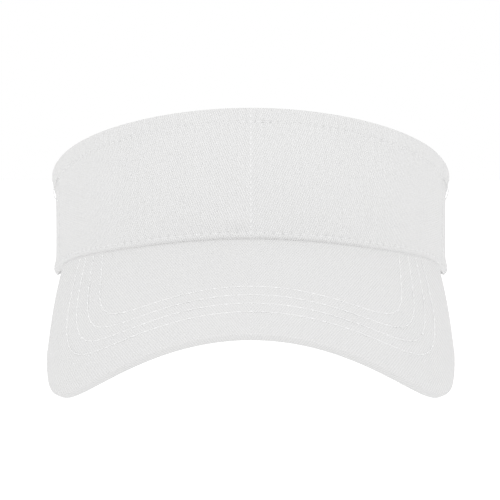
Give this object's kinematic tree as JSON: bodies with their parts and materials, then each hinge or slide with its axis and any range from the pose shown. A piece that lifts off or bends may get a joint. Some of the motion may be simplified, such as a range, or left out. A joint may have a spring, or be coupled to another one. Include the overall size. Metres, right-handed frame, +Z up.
{
  "type": "sun visor",
  "caption": "Cotton twill sun visor: an open-topped head band with an arched front panel, a curved stitched bill and a hook-and-loop closure at the back.",
  "frame": {"origin": "centre of the head opening, level with the lowest edge of the band", "axes": "+Z up out of the open crown, -Y towards the bill, +X towards the wearer's left, which is on the right of someone looking at the bill"},
  "size_m": [0.1792, 0.257, 0.12],
  "materials": {
    "twill": "matte cotton twill weave",
    "buckram": "stiff open-weave interlining",
    "seam_tape": "plain woven cotton tape",
    "sweatband": "soft brushed cotton",
    "label": "smooth blank satin weave",
    "board": "matte polyethylene sheet",
    "thread": "spun polyester thread",
    "hook_tape": "stiff nylon hooks",
    "loop_tape": "fuzzy nylon loops"
  },
  "bodies": {
    "visor": {"front_panel": "twill", "front_stiffener": "buckram", "left_side_panel": "twill", "right_side_panel": "twill", "left_seam_tape": "seam_tape", "right_seam_tape": "seam_tape", "sweatband": "sweatband", "care_label": "label", "bill_board": "board", "bill_top_cover": "twill", "bill_under_cover": "twill", "bill_stitch_row_1": "thread", "bill_stitch_row_2": "thread", "bill_stitch_row_3": "thread", "bill_stitch_row_4": "thread", "front_hem_stitching": "thread", "bill_joint_stitching": "thread", "left_seam_stitching": "thread", "right_seam_stitching": "thread", "left_hem_stitching": "thread", "right_hem_stitching": "thread", "loop_patch": "loop_tape", "loop_patch_stitching": "thread", "strap_tack": "thread"},
    "strap": {"closure_strap": "twill", "hook_patch": "hook_tape", "strap_stitching": "thread"}
  },
  "joints": [
    {"name": "closure_peel", "type": "hinge", "parent": "visor", "child": "strap", "pos_m": [0.03757, 0.08963, 0.014], "axis": [0, 0, -1], "range_deg": [0, 95]}
  ]
}
